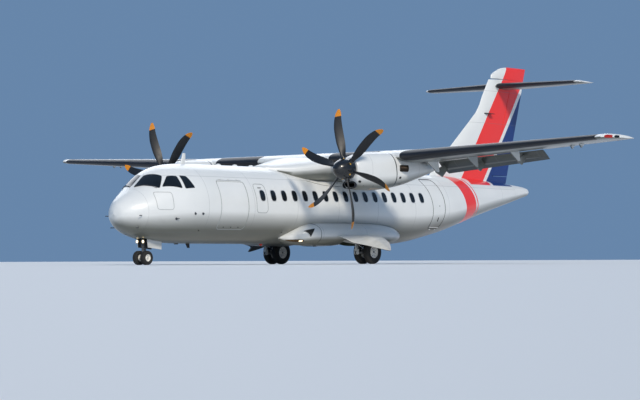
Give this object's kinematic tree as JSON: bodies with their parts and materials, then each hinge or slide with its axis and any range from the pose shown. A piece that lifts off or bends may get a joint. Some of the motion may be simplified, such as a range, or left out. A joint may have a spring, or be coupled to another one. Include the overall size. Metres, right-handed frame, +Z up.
{
  "type": "turboprop airliner",
  "caption": "High-wing, T-tailed regional airliner on twin-wheeled tricycle gear, with scimitar-bladed propellers, lowered flaps, hinged doors and control surfaces.",
  "frame": {"origin": "on the ground below the middle of the aircraft's length and span, with the aircraft parked on its wheels", "axes": "+X to the aircraft's left wing tip, +Y aft to the tail, +Z up"},
  "size_m": [24.57, 22.67, 7.59],
  "materials": {
    "white_skin": "gloss white paint on aluminium sheet",
    "white_composite": "gloss white paint on composite",
    "grey_composite": "pale grey paint on composite",
    "fin_paint": "red, white and dark blue stripes of gloss paint",
    "engine_steel": "dull metal",
    "burnt_steel": "heat-stained steel",
    "blade_black": "black polyurethane paint with orange-yellow tips",
    "spinner_black": "satin black paint",
    "leg_steel": "grey enamel on forged steel",
    "wheel_alloy": "white enamel on forged alloy",
    "tyre_rubber": "black rubber"
  },
  "bodies": {
    "airframe": {"radome": "white_composite", "fuselage": "white_skin", "tail_cone": "white_composite", "wing_root_fairing": "white_composite", "wing": "white_skin", "wing_tip_port": "white_composite", "wing_tip_starboard": "white_composite", "fin": "fin_paint", "stabiliser": "white_composite", "nacelle_port": "white_skin", "nacelle_starboard": "white_skin", "engine_port": "engine_steel", "engine_starboard": "engine_steel", "exhaust_port": "burnt_steel", "exhaust_starboard": "burnt_steel", "gear_pod_port": "white_composite", "gear_pod_starboard": "white_composite", "main_leg_port": "leg_steel", "main_leg_starboard": "leg_steel", "trailing_arm_port": "leg_steel", "trailing_arm_starboard": "leg_steel", "shock_strut_port": "leg_steel", "shock_strut_starboard": "leg_steel", "main_gear_door_port": "white_composite", "main_gear_door_starboard": "white_composite", "service_door": "white_skin", "emergency_hatch_port": "white_skin", "emergency_hatch_starboard": "white_skin", "nose_leg": "leg_steel", "nose_gear_door_port": "white_composite", "nose_gear_door_starboard": "white_composite"},
    "rudder": {"rudder": "fin_paint"},
    "elevator_port": {"elevator_port": "white_composite"},
    "elevator_starboard": {"elevator_starboard": "white_composite"},
    "aileron_port": {"aileron_port": "white_composite"},
    "aileron_starboard": {"aileron_starboard": "white_composite"},
    "inner_flap_port": {"inner_flap_port": "grey_composite"},
    "inner_flap_starboard": {"inner_flap_starboard": "grey_composite"},
    "outer_flap_port": {"outer_flap_port": "grey_composite"},
    "outer_flap_starboard": {"outer_flap_starboard": "grey_composite"},
    "propeller_port": {"propeller_port": "blade_black", "spinner_port": "spinner_black"},
    "propeller_starboard": {"propeller_starboard": "blade_black", "spinner_starboard": "spinner_black"},
    "main_wheels_port": {"main_wheels_port": "wheel_alloy", "main_tyre_outer_port": "tyre_rubber", "main_tyre_inner_port": "tyre_rubber"},
    "main_wheels_starboard": {"main_wheels_starboard": "wheel_alloy", "main_tyre_outer_starboard": "tyre_rubber", "main_tyre_inner_starboard": "tyre_rubber"},
    "nose_steering": {"nose_fork": "leg_steel"},
    "nose_wheels": {"nose_wheels": "wheel_alloy", "nose_tyre_port": "tyre_rubber", "nose_tyre_starboard": "tyre_rubber"},
    "passenger_door": {"passenger_door": "white_skin"},
    "cargo_door": {"cargo_door": "white_skin"}
  },
  "joints": [
    {"name": "rudder_hinge", "type": "hinge", "parent": "airframe", "child": "rudder", "pos_m": [0, 9.54967, 5.165], "axis": [0, 0.3295, 0.9441], "range_deg": [-27, 27]},
    {"name": "elevator_port_hinge", "type": "hinge", "parent": "airframe", "child": "elevator_port", "pos_m": [1.88, 10.26382, 6.82], "axis": [0.9983, -0.0587, 0], "range_deg": [-13, 23]},
    {"name": "elevator_starboard_hinge", "type": "hinge", "parent": "airframe", "child": "elevator_starboard", "pos_m": [-1.88, 10.26382, 6.82], "axis": [0.9983, 0.0587, 0], "range_deg": [-13, 23]},
    {"name": "aileron_port_hinge", "type": "hinge", "parent": "airframe", "child": "aileron_port", "pos_m": [10.515, -1.10751, 3.83073], "axis": [0.9982, -0.0309, 0.0517], "range_deg": [-14, 14]},
    {"name": "aileron_starboard_hinge", "type": "hinge", "parent": "airframe", "child": "aileron_starboard", "pos_m": [-10.515, -1.10751, 3.83073], "axis": [0.9982, 0.0309, -0.0517], "range_deg": [-14, 14]},
    {"name": "inner_flap_port_hinge", "type": "hinge", "parent": "airframe", "child": "inner_flap_port", "pos_m": [2.46, -0.9826, 3.09658], "axis": [1, 0, 0], "range_deg": [0, 30]},
    {"name": "inner_flap_starboard_hinge", "type": "hinge", "parent": "airframe", "child": "inner_flap_starboard", "pos_m": [-2.46, -0.9826, 3.09658], "axis": [1, 0, 0], "range_deg": [0, 30]},
    {"name": "outer_flap_port_hinge", "type": "hinge", "parent": "airframe", "child": "outer_flap_port", "pos_m": [6.7975, -1.0392, 3.2561], "axis": [0.9969, -0.0262, 0.0739], "range_deg": [0, 30]},
    {"name": "outer_flap_starboard_hinge", "type": "hinge", "parent": "airframe", "child": "outer_flap_starboard", "pos_m": [-6.7975, -1.0392, 3.2561], "axis": [0.9969, 0.0262, -0.0739], "range_deg": [0, 30]},
    {"name": "propeller_port_spin", "type": "hinge", "parent": "airframe", "child": "propeller_port", "pos_m": [4.05, -4.895, 3.065], "axis": [0, 1, 0], "continuous": true},
    {"name": "propeller_starboard_spin", "type": "hinge", "parent": "airframe", "child": "propeller_starboard", "pos_m": [-4.05, -4.895, 3.065], "axis": [0, 1, 0], "continuous": true},
    {"name": "main_wheels_port_spin", "type": "hinge", "parent": "airframe", "child": "main_wheels_port", "pos_m": [2.05, -1.265, 0.4065], "axis": [1, 0, 0], "continuous": true},
    {"name": "main_wheels_starboard_spin", "type": "hinge", "parent": "airframe", "child": "main_wheels_starboard", "pos_m": [-2.05, -1.265, 0.4065], "axis": [1, 0, 0], "continuous": true},
    {"name": "nose_steering_turn", "type": "hinge", "parent": "airframe", "child": "nose_steering", "pos_m": [0, -10.045, 0.45], "axis": [0, 0, 1], "range_deg": [-60, 60]},
    {"name": "nose_wheels_spin", "type": "hinge", "parent": "nose_steering", "child": "nose_wheels", "pos_m": [0, -10.045, 0.225], "axis": [1, 0, 0], "continuous": true},
    {"name": "passenger_door_hinge", "type": "hinge", "parent": "airframe", "child": "passenger_door", "pos_m": [1.10031, 3.73, 1.3], "axis": [-0.186, 0.9826, 0], "range_deg": [0, 135]},
    {"name": "cargo_door_hinge", "type": "hinge", "parent": "airframe", "child": "cargo_door", "pos_m": [1.15021, -7.2675, 2.68], "axis": [-0.0041, -1, 0], "range_deg": [0, 120]}
  ]
}
